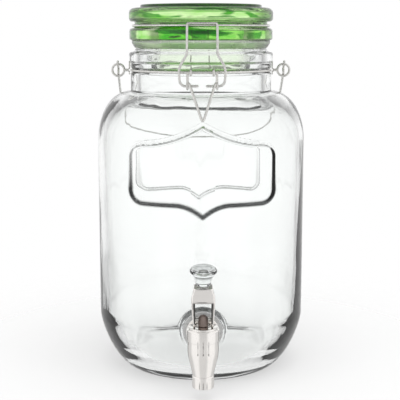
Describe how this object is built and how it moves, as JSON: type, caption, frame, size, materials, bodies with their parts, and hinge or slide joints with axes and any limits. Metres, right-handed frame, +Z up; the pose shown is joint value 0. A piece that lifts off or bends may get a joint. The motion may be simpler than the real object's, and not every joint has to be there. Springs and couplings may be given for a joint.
{
  "type": "dispenser bottle",
  "caption": "Round clear glass dispenser jar with a green clip-top lid, wire clamp, swinging wire handle and a lever tap near its foot.",
  "frame": {"origin": "centre of the ring that the jar stands on", "axes": "+Z up along the jar's axis, -Y towards the tap and the wire clamp, +X to the right as seen from the tap's side"},
  "size_m": [0.16, 0.1989, 0.279],
  "materials": {
    "clear_glass": "polished",
    "green_glass": "polished",
    "gasket_rubber": "satin, translucent",
    "steel_wire": "drawn wire",
    "tap_chrome": "polished",
    "clear_plastic": "clear, polished",
    "stem_plastic": "moulded",
    "seal_rubber": "matte",
    "washer_rubber": "translucent, matte",
    "nut_plastic": "moulded"
  },
  "bodies": {
    "jar_body": {"jar": "clear_glass", "neck_band": "steel_wire", "left_ring": "steel_wire", "right_ring": "steel_wire", "tap_body": "tap_chrome", "tap_bonnet": "tap_chrome", "bonnet_seal": "seal_rubber", "outer_washer": "washer_rubber", "inner_washer": "washer_rubber", "back_nut": "nut_plastic", "valve_spring": "steel_wire"},
    "lid_body": {"lid": "green_glass", "lid_gasket": "gasket_rubber", "lid_hoop": "steel_wire"},
    "lever_body": {"clamp_lever": "steel_wire"},
    "loop_body": {"locking_loop": "steel_wire"},
    "handle_body": {"carry_handle": "steel_wire"},
    "stem_body": {"valve_stem": "stem_plastic", "valve_plug": "seal_rubber"},
    "tap_lever_body": {"tap_lever": "tap_chrome", "lever_pin": "steel_wire", "lever_knob": "clear_plastic"}
  },
  "joints": [
    {"name": "lid_open", "type": "hinge", "parent": "jar_body", "child": "lid_body", "pos_m": [0, 0.0615, 0.2296], "axis": [-1, 0, 0], "range_deg": [0, 98]},
    {"name": "clamp_lever_turn", "type": "hinge", "parent": "jar_body", "child": "lever_body", "pos_m": [0, -0.0572, 0.2296], "axis": [-1, 0, 0], "range_deg": [0, 36]},
    {"name": "loop_turn", "type": "hinge", "parent": "lever_body", "child": "loop_body", "pos_m": [0, -0.057, 0.22], "axis": [1, 0, 0], "range_deg": [0, 174]},
    {"name": "handle_swing", "type": "hinge", "parent": "jar_body", "child": "handle_body", "pos_m": [0, 0, 0.2296], "axis": [1, 0, 0], "range_deg": [0, 123]},
    {"name": "stem_lift", "type": "slide", "parent": "jar_body", "child": "stem_body", "axis": [0, 0, 1], "range_m": [0, 0.004], "stiffness_N_per_m": 800, "springref_m": -0.004, "deforming": ["valve_spring"]},
    {"name": "lever_turn", "type": "hinge", "parent": "stem_body", "child": "tap_lever_body", "pos_m": [0, -0.097, 0.05835], "axis": [1, 0, 0], "range_deg": [0, 75]}
  ],
  "couplings": [
    {"joint": "clamp_lever_turn", "follows": "lid_open", "ratio": 0.35},
    {"joint": "loop_turn", "follows": "lid_open", "ratio": 1.75},
    {"joint": "lever_turn", "follows": "stem_lift", "rad_per_m": 327.25}
  ]
}
